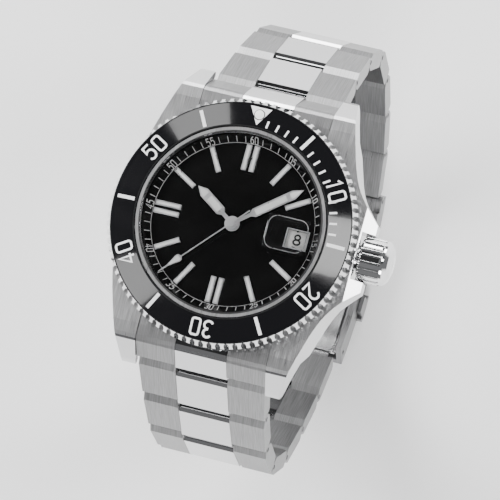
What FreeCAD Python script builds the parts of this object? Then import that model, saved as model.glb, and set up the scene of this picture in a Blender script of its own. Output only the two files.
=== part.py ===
import FreeCAD, Part
import math
import os
import re

import Sketcher

# Steel diver's watch on a three-piece-link bracelet, closed as on a wrist.
# Millimetres and degrees. The origin is the middle of the case back's outer face, +Z points
# out through the crystal, +Y to 12 o'clock and +X to 3 o'clock, where the crown is.

doc = FreeCAD.newDocument("wristwatch")
sheet = doc.addObject("Spreadsheet::Sheet", "dims")

DIMENSIONS = {
    # case
    "case_bottom": 1.2, "case_top": 8.7, "lug_gap": 22.1, "case_wall": 19.3, "tower": 15.55,
    "tower_top": 12.35, "movement_bore": 14.2, "ring_bore": 14.95, "crystal_seat": 11.6,
    "thread_bore": 14.65, "gasket_bore": 15.6, "crown_height": 6.4, "guard_reach": 22.5,
    "crown_recess": 20.5, "recess_half": 3.95, "flank_bottom": 4.8, "spring_bar_y": 21.4,
    "spring_bar_z": 5.6, "spring_bar": 0.75, "bar_tip": 0.4, "running": 0.04,
    # case back
    "back_radius": 17.0, "back_boss": 14.6, "back_boss_top": 2.6, "back_notches": 6.0,
    # crystal, chapter ring and dial
    "crystal": 14.75, "crystal_top": 13.2, "crystal_bevel": 0.35, "gasket": 0.3,
    "chapter_inner": 13.3, "chapter_outer": 14.9, "dial": 14.15, "dial_top": 10.0,
    "dial_thick": 0.4, "window_x": 10.75, "window_long": 3.4, "window_wide": 2.8,
    "lens_x": 9.6, "lens_long": 6.8, "lens_wide": 5.6, "lens_rise": 0.55,
    # hour markers
    "marker_inner": 8.92, "marker_outer": 13.2, "marker_width": 0.84, "marker_rise": 0.45,
    "pair_offset": 0.66,
    # bezel
    "bezel": 20.5, "bezel_floor": 8.95, "bezel_teeth": 90.0, "tooth_depth": 0.7,
    "insert_outer": 19.6, "insert_inner": 15.95, "insert_low": 11.9, "insert_high": 12.5,
    "insert_thick": 0.6, "bezel_bore": 15.68, "pearl_y": 18.0, "pearl": 0.75,
    # hands
    "hour_z": 10.45, "minute_z": 10.85, "seconds_z": 11.2, "hand_thick": 0.17,
    "hour_time": 304.0, "minute_time": 51.8, "seconds_time": 222.5,
    # movement
    "plate": 12.8, "plate_low": 5.4, "plate_high": 9.1, "bridge": 12.4, "bridge_low": 4.15,
    "holder": 14.1, "date_outer": 12.6, "date_inner": 8.0, "rotor": 12.6, "rotor_low": 2.85,
    "rotor_disc": 0.6, "rotor_rim": 0.85, "bearing": 1.2, "balance_x": -6.6, "balance_y": -4.6,
    "balance": 4.3, "barrel_x": 5.4, "barrel_y": 5.0, "barrel": 4.2,
    # crown
    "crown": 3.8, "crown_start": 21.1, "crown_end": 25.0, "crown_tip": 26.4, "crown_flutes": 20.0,
    "flute_depth": 0.35, "tube": 2.1, "tube_bore": 0.75, "crown_cavity": 2.3, "stem": 0.6,
    # bracelet rows
    "pitch": 9.6, "row_thick": 3.0, "centre_half": 4.35, "side_gap": 0.06, "nose": 0.95,
    "nose_gap": 0.12, "row_bevel": 0.45, "pin": 0.45,
    # clasp
    "clasp_y": 5.2, "clasp_z": -26.2, "cover": 34.4, "cover_thick": 1.0, "cover_half": 10.0,
    "wall_thick": 0.95, "wall_inner": 29.8, "cover_span": 26.0, "hinge_one": 32.2,
    "hinge_one_at": -24.0, "hinge_two": 31.5, "hinge_two_at": 17.0, "knuckle": 0.8,
    "middle_inner": 31.75, "middle_outer": 32.65, "middle_half": 8.6, "lower_inner": 30.4,
    "lower_outer": 31.25, "lower_half": 8.2, "catch_hinge": 35.2, "catch_hinge_at": 9.0,
    "catch_thick": 0.8, "catch_boss": 0.85, "catch_knuckle": 0.7, "catch_pin": 0.3,
}
for line, (alias, value) in enumerate(DIMENSIONS.items(), start=1):
    sheet.set(f"A{line}", alias)
    sheet.set(f"B{line}", str(value))
    sheet.setAlias(f"B{line}", alias)
doc.recompute()

FAR = 60.0
NODES = []


def dim(alias):
    """The sheet's value of one dimension."""
    return float(sheet.get(alias))


def bound(text):
    """The expression with each dimension's name pointing at the sheet."""
    return re.sub(r"\b(?!(?:sin|cos)\b)[a-z]\w*", r"dims.\g<0>", str(text))


def bind(item, prop, text):
    item.setExpression(prop, bound(text))


def place(item, low, turn=None):
    """Bind an item's position, after turning it."""
    if turn is not None:
        item.Placement = FreeCAD.Placement(FreeCAD.Vector(), turn)
    for axis, text in zip("xyz", low):
        bind(item, f"Placement.Base.{axis}", text)


ALONG = {
    "Z": FreeCAD.Rotation(),
    "X": FreeCAD.Rotation(FreeCAD.Vector(0, 1, 0), 90),
}


def cylinder(name, radius, height, base=("0", "0", "0"), along="Z"):
    item = doc.addObject("Part::Cylinder", name)
    bind(item, "Radius", radius)
    bind(item, "Height", height)
    place(item, base, ALONG[along])
    return item


def box(name, size, low):
    item = doc.addObject("Part::Box", name)
    for prop, text in zip(("Length", "Width", "Height"), size):
        bind(item, prop, text)
    place(item, low)
    return item


def fuse(name, *items):
    item = doc.addObject("Part::MultiFuse", name)
    item.Shapes = list(items)
    return item


def cut(name, base, *tools):
    item = doc.addObject("Part::Cut", name)
    item.Base = base
    item.Tool = tools[0] if len(tools) == 1 else fuse(name + "_tools", *tools)
    return item


def common(name, base, tool):
    item = doc.addObject("Part::Common", name)
    item.Base = base
    item.Tool = tool
    return item


def group(name, *items):
    item = doc.addObject("Part::Compound", name)
    item.Links = list(items)
    return item


def node(item, label):
    """Mark an item as a sub-part of its own."""
    item.Label = label
    NODES.append(item)
    return item


def ring(name, outer, inner, height, z):
    shaft = cylinder(name + "_outer", outer, height, ("0", "0", z))
    bore = cylinder(name + "_bore", inner, f"({height}) + 2", ("0", "0", f"({z}) - 1"))
    return cut(name, shaft, bore)


def sketch_polygon(body, name, plane, corners):
    """A closed polygon whose corner coordinates are all bound to the sheet."""
    sketch = body.newObject("Sketcher::SketchObject", name)
    origin_plane = [f for f in body.Origin.OriginFeatures if f.Role == plane][0]
    sketch.AttachmentSupport = [(origin_plane, "")]
    sketch.MapMode = "FlatFace"
    count = len(corners)
    rough = [
        FreeCAD.Vector(10 + 5 * math.cos(2 * math.pi * i / count),
                       10 + 5 * math.sin(2 * math.pi * i / count), 0)
        for i in range(count)
    ]
    for i in range(count):
        sketch.addGeometry(Part.LineSegment(rough[i], rough[(i + 1) % count]))
    for i in range(count):
        sketch.addConstraint(Sketcher.Constraint("Coincident", i, 2, (i + 1) % count, 1))
    for i, (across, up) in enumerate(corners):
        for kind, text, value in (("DistanceX", across, rough[i].x), ("DistanceY", up, rough[i].y)):
            index = sketch.addConstraint(Sketcher.Constraint(kind, -1, 1, i, 1, value))
            sketch.setExpression(f"Constraints[{index}]", bound(text))
    return sketch


def lathe(name, corners):
    """A body turned about Z from (radius, height) corners."""
    body = doc.addObject("PartDesign::Body", name)
    sketch = sketch_polygon(body, name + "_profile", "XZ_Plane", corners)
    turn = body.newObject("PartDesign::Revolution", name + "_turn")
    turn.Profile = sketch
    turn.ReferenceAxis = (sketch, ["V_Axis"])
    turn.Angle = 360.0
    body.Tip = turn
    return body


def slab(name, corners, thick, z, turned=0.0):
    """A flat body on XY from (x, y) corners, turned about Z."""
    body = doc.addObject("PartDesign::Body", name)
    sketch = sketch_polygon(body, name + "_outline", "XY_Plane", corners)
    pad = body.newObject("PartDesign::Pad", name + "_pad")
    pad.Profile = sketch
    bind(pad, "Length", thick)
    body.Tip = pad
    place(body, ("0", "0", z), FreeCAD.Rotation(FreeCAD.Vector(0, 0, 1), turned))
    return body


def shaped(name, shape, placement=None):
    item = doc.addObject("Part::Feature", name)
    item.Shape = shape
    if placement is not None:
        item.Placement = placement
    return item


def polar(radius, degrees):
    return FreeCAD.Vector(radius * math.cos(math.radians(degrees)),
                          radius * math.sin(math.radians(degrees)), 0)


def scalloped_disc(radius, depth, count, share, thick):
    """A disc whose rim has round notches, each taking a share of the tooth pitch."""
    step = 360.0 / count
    edges = []
    for tooth in range(int(count)):
        start = tooth * step
        land_end = start + step * (1 - share)
        notch_end = start + step
        edges.append(Part.Arc(polar(radius, start), polar(radius, (start + land_end) / 2),
                              polar(radius, land_end)).toShape())
        edges.append(Part.Arc(polar(radius, land_end),
                              polar(radius - depth, (land_end + notch_end) / 2),
                              polar(radius, notch_end)).toShape())
    return Part.Face(Part.Wire(edges)).extrude(FreeCAD.Vector(0, 0, thick))


# ---- case middle ----------------------------------------------------------------------------

def case_outline():
    """Plan outline: plain flank at 9 o'clock, crown guards at 3 o'clock."""
    tip_y = 25.2
    reach, recess, half = dim("guard_reach"), dim("crown_recess"), dim("recess_half")
    flank = [(13.3, tip_y), (15.0, 20.1), (16.75, 14.6), (18.2, 8.6), (18.9, 0.0)]
    left = [FreeCAD.Vector(-x, y, 0) for x, y in flank]
    left += [FreeCAD.Vector(-x, -y, 0) for x, y in reversed(flank[:-1])]
    guard = [(13.3, tip_y), (15.0, 20.1), (16.6, 14.6), (18.3, 10.6), (20.6, 7.6), (reach, 5.6)]
    upper = [FreeCAD.Vector(x, y, 0) for x, y in guard]
    lower = [FreeCAD.Vector(x, -y, 0) for x, y in reversed(guard)]
    curves = []
    for points in (left, lower, upper):
        curve = Part.BSplineCurve()
        curve.interpolate(points)
        curves.append(curve.toShape())
    bottom = [left[-1], lower[-1]]
    notch = [lower[0], FreeCAD.Vector(reach, -half, 0), FreeCAD.Vector(recess, -half, 0),
             FreeCAD.Vector(recess, half, 0), FreeCAD.Vector(reach, half, 0), upper[-1]]
    top = [upper[0], left[0]]
    edges = list(curves)
    for chain in (bottom, notch, top):
        edges += [Part.makeLine(a, b) for a, b in zip(chain, chain[1:])]
    wire = Part.Wire(Part.__sortEdges__(edges))
    return Part.Face(wire).extrude(FreeCAD.Vector(0, 0, FAR)).translated(FreeCAD.Vector(0, 0, -5))


def side_profile(corners):
    """A prism along X from (y, z) corners of the 12 o'clock half, mirrored to 6 o'clock."""
    ring_points = corners + [(-y, z) for y, z in reversed(corners)]
    points = [FreeCAD.Vector(-FAR / 2, y, z) for y, z in ring_points]
    return Part.Face(Part.makePolygon(points + points[:1])).extrude(FreeCAD.Vector(FAR, 0, 0))


def front_profile(corners):
    """A prism along Y from (x, z) corners of the 3 o'clock half, mirrored to 9 o'clock."""
    ring_points = corners + [(-x, z) for x, z in reversed(corners)]
    points = [FreeCAD.Vector(x, -FAR / 2, z) for x, z in ring_points]
    return Part.Face(Part.makePolygon(points + points[:1])).extrude(FreeCAD.Vector(0, FAR, 0))


LUG_SIDE = [(0, dim("case_bottom")), (16.6, dim("case_bottom")), (18.6, 3.9), (21.4, 3.9),
            (24.3, 2.6), (24.9, 3.0), (24.5, 4.0), (21.75, 7.7), (21.4, 8.05), (20.8, 8.35),
            (19.0, 8.6), (0, dim("case_top"))]
CASE_FRONT = [(0, dim("case_bottom")), (17.0, dim("case_bottom")),
              (19.6, dim("flank_bottom") - 0.6), (24.0, dim("flank_bottom")), (24.0, 6.2),
              (20.3, dim("case_top")), (0, dim("case_top"))]

blank = shaped("case_blank", case_outline())
lug_side = shaped("case_side", side_profile(LUG_SIDE))
case_front = shaped("case_front", front_profile(CASE_FRONT))
case_body = common("case_body", common("case_plan", blank, lug_side), case_front)
lug_slot = cut("lug_slot",
               box("lug_slot_box", ("lug_gap", "60", "20"), ("-lug_gap / 2", "-30", "0")),
               cylinder("lug_slot_core", "case_wall", "20"))
tower = cylinder("case_tower", "tower", "tower_top - case_top + 1", ("0", "0", "case_top - 1"))
bar_holes = [
    cylinder(f"lug_hole_{side}", "bar_tip + running", "lug_gap + 3",
             ("-lug_gap / 2 - 1.5", f"{sign}spring_bar_y", "spring_bar_z"), "X")
    for side, sign in (("twelve", ""), ("six", "-"))
]
case_cuts = [
    lug_slot,
    cylinder("case_thread", "thread_bore", "10", ("0", "0", "-5")),
    cylinder("case_gasket_bore", "gasket_bore", "case_bottom + 0.6", ("0", "0", "0")),
    cylinder("case_bore", "movement_bore", "20"),
    cylinder("case_ring_bore", "ring_bore", "20", ("0", "0", "9.4")),
    cylinder("case_crystal_bore", "crystal + gasket", "20", ("0", "0", "crystal_seat")),
    cylinder("case_tube_hole", "tube", "12", ("12", "0", "crown_height"), "X"),
] + bar_holes
node(cut("case_middle", fuse("case_solid", case_body, tower), *case_cuts), "case_middle")

# ---- case back ------------------------------------------------------------------------------

back_blank = fuse("back_blank",
                  lathe("back_disc", [("0", "0"), ("back_radius - 0.9", "0"),
                                      ("back_radius", "0.7"),
                                      ("back_radius", "case_bottom - 0.02"),
                                      ("0", "case_bottom - 0.02")]),
                  cylinder("back_boss_solid", "back_boss", "back_boss_top - 1", ("0", "0", "1")))
notches = []
for i in range(int(dim("back_notches"))):
    notch = box(f"back_notch_{i}", ("2.2", "2.6", "0.6"), ("0", "0", "0"))
    turn = FreeCAD.Rotation(FreeCAD.Vector(0, 0, 1), i * 360.0 / dim("back_notches"))
    corner = turn.multVec(FreeCAD.Vector(dim("back_radius") - 1.7, -1.3, -0.01))
    notch.Placement = FreeCAD.Placement(corner, turn)
    notches.append(notch)
hollow = cylinder("back_hollow", "back_boss - 1.2", "5", ("0", "0", "1.6"))
node(cut("case_back", back_blank, hollow, *notches), "case_back")
node(ring("case_back_gasket", "gasket_bore - 0.05", "back_boss + 0.1", "0.5", "case_bottom + 0.04"),
     "case_back_gasket")

# ---- crystal, magnifier, chapter ring, dial --------------------------------------------------

node(lathe("crystal", [("0", "crystal_seat"), ("crystal", "crystal_seat"),
                       ("crystal", "crystal_top - crystal_bevel"),
                       ("crystal - crystal_bevel", "crystal_top"), ("0", "crystal_top")]),
     "crystal")
node(ring("crystal_gasket", "crystal + gasket", "crystal", "0.7", "crystal_seat"),
     "crystal_gasket")
lens_blank = box("lens_blank", ("lens_long", "lens_wide", "2"),
                 ("lens_x - lens_long / 2", "-lens_wide / 2", "crystal_top"))
lens_ball = cylinder("lens_dome", "lens_wide * lens_wide / 8 / lens_rise * 1.35", "20",
                     ("0", "0", "crystal_top + lens_rise"
                      " - lens_wide * lens_wide / 8 / lens_rise * 1.35"), "X")
node(common("date_magnifier", lens_blank, lens_ball), "date_magnifier")
node(lathe("chapter_ring", [("chapter_inner", "dial_top"), ("chapter_outer", "dial_top"),
                            ("chapter_outer", "crystal_seat"),
                            ("chapter_outer - 0.35", "crystal_seat")]),
     "chapter_ring")
window = box("date_window", ("window_long", "window_wide", "2"),
             ("window_x - window_long / 2", "-window_wide / 2", "dial_top - 1"))
dial_disc = cylinder("dial_disc", "dial", "dial_thick", ("0", "0", "dial_top - dial_thick"))
node(cut("dial", dial_disc, window, cylinder("dial_hole", "1.1", "20")), "dial")

bars = []
for hour in range(1, 13):
    if hour == 3:
        continue
    offsets = ("pair_offset", "-pair_offset") if hour in (6, 9, 12) else ("0",)
    for offset in offsets:
        bar = slab(f"marker_{len(bars)}",
                   [(f"{offset} - marker_width / 2", "marker_inner"),
                    (f"{offset} + marker_width / 2", "marker_inner"),
                    (f"{offset} + marker_width / 2", "marker_outer"),
                    (f"{offset} - marker_width / 2", "marker_outer")],
                   "marker_rise", "dial_top", -30.0 * hour)
        bars.append(bar)
node(group("hour_markers", *bars), "hour_markers")

# ---- bezel ----------------------------------------------------------------------------------

bezel_turned = lathe("bezel_turned", [
    ("bezel_bore", "bezel_floor"), ("bezel - 0.35", "bezel_floor"), ("bezel", "bezel_floor + 0.4"),
    ("bezel", "insert_low - 1.1"), ("insert_outer + 0.2", "insert_low"),
    ("insert_outer + 0.02", "insert_low"), ("insert_outer + 0.02", "insert_low - insert_thick"),
    ("insert_outer", "insert_low - insert_thick"), ("insert_inner", "insert_high - insert_thick"),
    ("insert_inner - 0.02", "insert_high - insert_thick"), ("insert_inner - 0.02", "insert_high"),
    ("bezel_bore", "insert_high")])
knurl = shaped("bezel_knurl", scalloped_disc(dim("bezel"), dim("tooth_depth"),
                                             dim("bezel_teeth"), 0.5, 20.0))
click_groove = ring("bezel_click_groove", "18.7", "16.9", "0.75", "bezel_floor - 0.05")
retainer_groove = ring("bezel_retainer_groove", "16.15", "bezel_bore - 1", "0.8", "9.4 + 0.15")
node(cut("bezel_ring", common("bezel_edge", bezel_turned, knurl), click_groove, retainer_groove),
     "bezel_ring")
insert_turned = lathe("insert_turned", [
    ("insert_inner", "insert_high - insert_thick"), ("insert_outer", "insert_low - insert_thick"),
    ("insert_outer", "insert_low"), ("insert_inner", "insert_high")])
pearl_hole = cylinder("pearl_hole", "pearl + 0.01", "5", ("0", "pearl_y", "insert_low - 0.4"))
node(cut("bezel_insert", insert_turned, pearl_hole), "bezel_insert")
pearl_cup = cylinder("pearl_cup", "pearl", "0.55", ("0", "pearl_y", "insert_low - 0.1"))
pearl_dome = doc.addObject("Part::Sphere", "pearl_dome")
bind(pearl_dome, "Radius", "pearl * 1.3")
place(pearl_dome, ("0", "pearl_y", "insert_low + 0.65 - pearl * 1.3"))
pearl_post = cylinder("pearl_post", "pearl", "2", ("0", "pearl_y", "insert_low - 0.1"))
node(fuse("bezel_pearl", pearl_cup, common("pearl_top", pearl_dome, pearl_post)), "bezel_pearl")
spring_ring = ring("click_spring_ring", "18.2", "17.4", "0.3", "case_top + 0.04")
spring_gap = box("click_spring_gap", ("20", "4", "3"), ("0", "6", "case_top - 1"))
spring_gap.Placement = FreeCAD.Placement(
    FreeCAD.Vector(0, 2, 8), FreeCAD.Rotation(FreeCAD.Vector(0, 0, 1), 35))
node(cut("bezel_click_spring", spring_ring, spring_gap), "bezel_click_spring")
node(ring("bezel_retainer", "16.05", "tower + 0.02", "0.45", "9.7"), "bezel_retainer")

# ---- hands ----------------------------------------------------------------------------------


def hand_corners(stem, shoulder, body, point, half_stem, half_body):
    """Half outline of a pencil hand along +Y, mirrored."""
    right = [(half_stem, 0.6), (half_stem, stem), (half_body, shoulder), (half_body, body)]
    corners = [(str(x), str(y)) for x, y in right] + [("0", str(point))]
    return corners + [(f"-{x}", str(y)) for x, y in reversed(right)]


def hand(name, corners, level, time, hub, pipe, pipe_low, bore):
    blade = slab(name + "_blade", corners, "hand_thick", level, -dim(time))
    boss = cylinder(name + "_hub", hub, "hand_thick + 0.08", ("0", "0", level))
    shaft = cylinder(name + "_pipe", pipe, f"{level} - ({pipe_low}) + 0.05", ("0", "0", pipe_low))
    solid = fuse(name + "_solid", blade, boss, shaft)
    if bore is None:
        return node(solid, name)
    hole = cylinder(name + "_bore", bore, "30")
    return node(cut(name, solid, hole), name)


hand("hour_hand", hand_corners(2.3, 2.9, 7.0, 8.5, 0.33, 0.82), "hour_z", "hour_time",
     "1.25", "0.95", "plate_high + 0.05", "0.66")
hand("minute_hand", hand_corners(3.3, 4.0, 11.0, 12.8, 0.3, 0.74), "minute_z", "minute_time",
     "0.95", "0.62", "plate_high - 0.6", "0.31")
lozenge = [(0.09, -3.6), (0.09, 9.6), (0.55, 9.9), (0.62, 10.3), (0.13, 12.3), (0.07, 14.1)]
seconds_corners = [(str(x), str(y)) for x, y in lozenge]
seconds_corners += [(f"-{x}", str(y)) for x, y in reversed(lozenge)]
hand("seconds_hand", seconds_corners, "seconds_z", "seconds_time", "0.6", "0.27",
     "plate_high - 1.4", None)

# ---- movement -------------------------------------------------------------------------------

stem_hole = cylinder("plate_stem_hole", "stem + running", "14", ("4", "0", "crown_height"), "X")
lever_pocket = box("lever_pocket", ("5.4", "5", "2.4"), ("7.4", "-2.5", "plate_low - 0.2"))
SCREWS = [(-9.8, 3.2), (-3.4, 9.6), (9.4, -5.2), (0.6, -10.6), (-1.2, 5.4)]
screw_holes = [cylinder(f"screw_hole_{i}", "0.36", "2.5", (str(x), str(y), "bridge_low - 0.1"))
               for i, (x, y) in enumerate(SCREWS)]
plate_cuts = [
    cylinder("plate_centre", "0.66", "20"),
    stem_hole, lever_pocket,
    cylinder("plate_balance_pivot", "0.33", "1", ("balance_x", "balance_y", "plate_low - 0.3")),
    cylinder("plate_barrel_pivot", "0.53", "1", ("barrel_x", "barrel_y", "plate_low - 0.3")),
]
plate_disc = cylinder("plate_disc", "plate", "plate_high - plate_low", ("0", "0", "plate_low"))
node(cut("main_plate", plate_disc, *plate_cuts, *screw_holes), "main_plate")
bridge_disc = cylinder("bridge_disc", "bridge", "plate_low - bridge_low - 0.01",
                       ("0", "0", "bridge_low"))
bridge_cuts = [
    cylinder("bridge_balance", "balance + 0.4", "4", ("balance_x", "balance_y", "3")),
    cylinder("bridge_barrel", "barrel + 0.2", "4", ("barrel_x", "barrel_y", "3")),
]
bridge_holes = [cylinder(f"bridge_hole_{i}", "0.36", "2.5", (str(x), str(y), "bridge_low - 0.1"))
                for i, (x, y) in enumerate(SCREWS)]
node(cut("train_bridge", bridge_disc, *bridge_cuts, *bridge_holes), "train_bridge")
screws = []
for i, (x, y) in enumerate(SCREWS):
    head = cylinder(f"screw_head_{i}", "0.7", "0.35", (str(x), str(y), "bridge_low - 0.36"))
    shank = cylinder(f"screw_shank_{i}", "0.34", "2", (str(x), str(y), "bridge_low - 0.05"))
    slot = box(f"screw_slot_{i}", ("2", "0.22", "0.15"),
               (f"{x} - 1", f"{y} - 0.11", "bridge_low - 0.37"))
    screws.append(cut(f"screw_{i}", fuse(f"screw_solid_{i}", head, shank), slot))
node(group("movement_screws", *screws), "movement_screws")
holder_ring = ring("holder_ring", "holder", "plate + 0.02",
                   "dial_top - dial_thick - plate_low - 0.02", "plate_low")
node(cut("movement_holder", holder_ring,
         cylinder("holder_stem_hole", "0.9", "16", ("4", "0", "crown_height"), "X")),
     "movement_holder")
node(ring("date_disc", "date_outer", "date_inner", "0.25", "plate_high + 0.12"), "date_disc")

balance_rim = ring("balance_rim", "balance", "balance - 0.7", "0.5", "4.45")
place(balance_rim, ("balance_x", "balance_y", "0"))
balance_arms = [box("balance_arm_x", ("2 * balance - 0.8", "0.6", "0.3"),
                    ("balance_x - balance + 0.4", "balance_y - 0.3", "4.5")),
                box("balance_arm_y", ("0.6", "2 * balance - 0.8", "0.3"),
                    ("balance_x - 0.3", "balance_y - balance + 0.4", "4.5"))]
balance_staff = cylinder("balance_staff", "0.29", "1.55", ("balance_x", "balance_y", "4.2"))
node(fuse("balance_wheel", balance_rim, *balance_arms, balance_staff), "balance_wheel")
cock_bar = box("cock_bar", ("2.4", "7.4", "0.5"), ("balance_x - 1.2", "balance_y - 1.2", "3.6"))
cock_foot = box("cock_foot", ("2.4", "1.2", "0.55"),
                ("balance_x - 1.2", "balance_y + balance + 0.65", "3.6"))
node(fuse("balance_cock", cock_bar, cock_foot), "balance_cock")
barrel_drum = cylinder("barrel_drum", "barrel", "0.95", ("barrel_x", "barrel_y", "4.35"))
barrel_arbor = cylinder("barrel_arbor", "0.5", "1.45", ("barrel_x", "barrel_y", "4.2"))
node(fuse("mainspring_barrel", barrel_drum, barrel_arbor), "mainspring_barrel")

rotor_plate = cylinder("rotor_plate", "rotor - 1", "rotor_disc", ("0", "0", "rotor_low"))
rotor_plate.Angle = 180.0
rotor_edge = cylinder("rotor_edge", "rotor", "rotor_rim", ("0", "0", "rotor_low"))
rotor_edge.Angle = 180.0
rotor_weight = cut("rotor_weight", rotor_edge,
                   cylinder("rotor_weight_bore", "rotor - 2", "9", ("0", "0", "0")))
rotor_hub = cylinder("rotor_hub", "2.4", "rotor_disc + 0.3", ("0", "0", "rotor_low"))
node(cut("rotor", fuse("rotor_solid", rotor_plate, rotor_weight, rotor_hub),
         cylinder("rotor_bore", "bearing + running", "9")), "rotor")
bearing_post = cylinder("bearing_post", "bearing", "bridge_low - rotor_low + 0.05",
                        ("0", "0", "rotor_low - 0.06"))
node(bearing_post, "rotor_bearing")

# ---- crown ----------------------------------------------------------------------------------

TO_X = FreeCAD.Rotation(FreeCAD.Vector(0, 1, 0), 90)
crown_turned = lathe("crown_turned", [
    ("0", "crown_start"), ("crown - 0.45", "crown_start"), ("crown", "crown_start + 0.5"),
    ("crown", "crown_end - 0.35"), ("crown - 0.15", "crown_end"), ("crown - 0.2", "crown_end + 0.35"),
    ("crown - 0.9", "crown_end + 0.95"), ("crown - 1.9", "crown_tip - 0.12"), ("0", "crown_tip")])
flutes = shaped("crown_flutes_solid", scalloped_disc(
    dim("crown"), dim("flute_depth"), dim("crown_flutes"), 0.42, dim("crown_end") - 0.05))
crown_cap = cylinder("crown_cap", "crown + 1", "9", ("0", "0", "crown_end - 0.06"))
crown_shape = common("crown_shape", crown_turned, fuse("crown_mask", flutes, crown_cap))
crown_hollow = cylinder("crown_hollow", "crown_cavity", "3.1", ("0", "0", "crown_start - 0.01"))
crown_cut = cut("crown_cut", crown_shape, crown_hollow)
place(crown_cut, ("0", "0", "crown_height"), TO_X)
node(crown_cut, "crown")
tube_solid = cylinder("tube_solid", "tube", "23.4 - movement_bore - 0.2",
                      ("movement_bore + 0.2", "0", "crown_height"), "X")
node(cut("crown_tube", tube_solid,
         cylinder("tube_hole", "tube_bore", "20", ("10", "0", "crown_height"), "X")), "crown_tube")
gasket_solid = cylinder("crown_gasket_solid", "crown_cavity - 0.01", "0.6",
                        ("crown_start + 1.2", "0", "crown_height"), "X")
node(cut("crown_gasket", gasket_solid,
         cylinder("crown_gasket_hole", "tube + 0.03", "9", ("18", "0", "crown_height"), "X")),
     "crown_gasket")
stem_rod = cylinder("stem_rod", "stem", "crown_start + 3.09 - 4.3",
                    ("4.3", "0", "crown_height"), "X")
stem_groove = cut("stem_groove",
                  cylinder("stem_groove_outer", "1.5", "0.6", ("8.2", "0", "crown_height"), "X"),
                  cylinder("stem_groove_core", "0.35", "2", ("7.8", "0", "crown_height"), "X"))
node(cut("winding_stem", stem_rod, stem_groove), "winding_stem")
lever_plate = box("lever_plate", ("0.4", "4", "1.7"), ("8.3", "-2", "5.6"))
lever_slot = box("lever_slot", ("2", "0.84", "2"), ("7.5", "-0.42", "crown_height - 0.42"))
node(cut("setting_lever", lever_plate, lever_slot), "setting_lever")

# ---- bracelet -------------------------------------------------------------------------------

TWELVE = {"start": (23.4, 1.2), "angles": (47, 56, 72, 101, 117, 124, 140), "sign": 1,
          "halves": (10.75, 10.4, 10.05, 9.85, 9.8, 9.75, 9.6, 9.35)}
SIX = {"start": (23.0, 2.4), "angles": (61, 66, 80, 108, 129, 135, 145), "sign": -1,
       "halves": (10.75, 10.4, 10.1, 9.9, 9.75, 9.65, 9.5, 9.3)}
HALF = dim("row_thick") / 2
FLAT = dim("nose") + dim("nose_gap")


def yz(y, z, x=0.0):
    return FreeCAD.Vector(x, y, z)


def nose_points(radius):
    """Where a nose's 60-degree tangents leave its circle and meet the faces."""
    touch = (-radius * 0.5, radius * math.sin(math.radians(60)))
    run = (HALF - touch[1]) / math.tan(math.radians(30))
    return touch, touch[0] + run


def row_face(length):
    """Side profile of a link: round nose about (0, 0), flat bevelled end at the length."""
    radius, bevel = dim("nose"), dim("row_bevel")
    (near, up), full = nose_points(radius)
    corners = [(full, HALF), (length - bevel, HALF), (length, HALF - bevel),
               (length, -HALF + bevel), (length - bevel, -HALF), (full, -HALF)]
    points = [yz(near, up)] + [yz(*c) for c in corners] + [yz(near, -up)]
    edges = [Part.makeLine(a, b) for a, b in zip(points, points[1:])]
    edges.append(Part.Arc(yz(near, -up), yz(-radius, 0), yz(near, up)).toShape())
    return Part.Face(Part.Wire(edges))


def x_rod(radius, half, y=0.0, z=0.0):
    return Part.makeCylinder(radius, 2 * half, yz(y, z, -half), FreeCAD.Vector(1, 0, 0))


def outer_link(start_half, end_half, side):
    """One outer link; its side face tapers from one half width to the next."""
    pitch, inner = dim("pitch"), dim("centre_half") + dim("side_gap")
    length = pitch - FLAT
    slab_shape = row_face(length).extrude(FreeCAD.Vector(start_half + 1, 0, 0))
    slope = (end_half - start_half) / pitch
    plan = [(inner, -3.0), (start_half - 3 * slope, -3.0),
            (end_half + 3 * slope, pitch + 3.0), (inner, pitch + 3.0)]
    points = [FreeCAD.Vector(x, y, -4) for x, y in plan]
    wedge = Part.Face(Part.makePolygon(points + points[:1])).extrude(FreeCAD.Vector(0, 0, 8))
    link = slab_shape.common(wedge)
    link = link.cut(x_rod(dim("pin"), 20)).cut(x_rod(dim("pin"), inner + 1.5, pitch / 2))
    if side < 0:
        link = link.mirror(FreeCAD.Vector(), FreeCAD.Vector(1, 0, 0))
    return link


def centre_link(bore):
    """The centre link: flat end first, nose about the next pin."""
    pitch, half = dim("pitch"), dim("centre_half")
    face = row_face(pitch - FLAT)
    link = face.extrude(FreeCAD.Vector(2 * half, 0, 0)).translated(yz(0, 0, -half))
    link.rotate(FreeCAD.Vector(), FreeCAD.Vector(0, 0, 1), 180)
    link.translate(yz(pitch, 0))
    return link.cut(x_rod(bore, 20, pitch)).cut(x_rod(dim("pin"), 20, pitch / 2))


def row_placement(strand, index):
    """Where a row's first pin is, and how the row is turned."""
    y, z = strand["start"]
    for angle in strand["angles"][:index]:
        y += dim("pitch") * math.cos(math.radians(angle))
        z -= dim("pitch") * math.sin(math.radians(angle))
    sign = strand["sign"]
    lean = FreeCAD.Rotation(FreeCAD.Vector(1, 0, 0), -sign * strand["angles"][min(index, 6)])
    face = FreeCAD.Rotation(FreeCAD.Vector(0, 0, 1), 0 if sign > 0 else 180)
    return FreeCAD.Placement(yz(sign * y, z), lean.multiply(face))


def solid_group(name, solids, placement):
    parts = [shaped(f"{name}_{i}", s, placement) for i, s in enumerate(solids)]
    return node(group(name, *parts), name)


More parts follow.
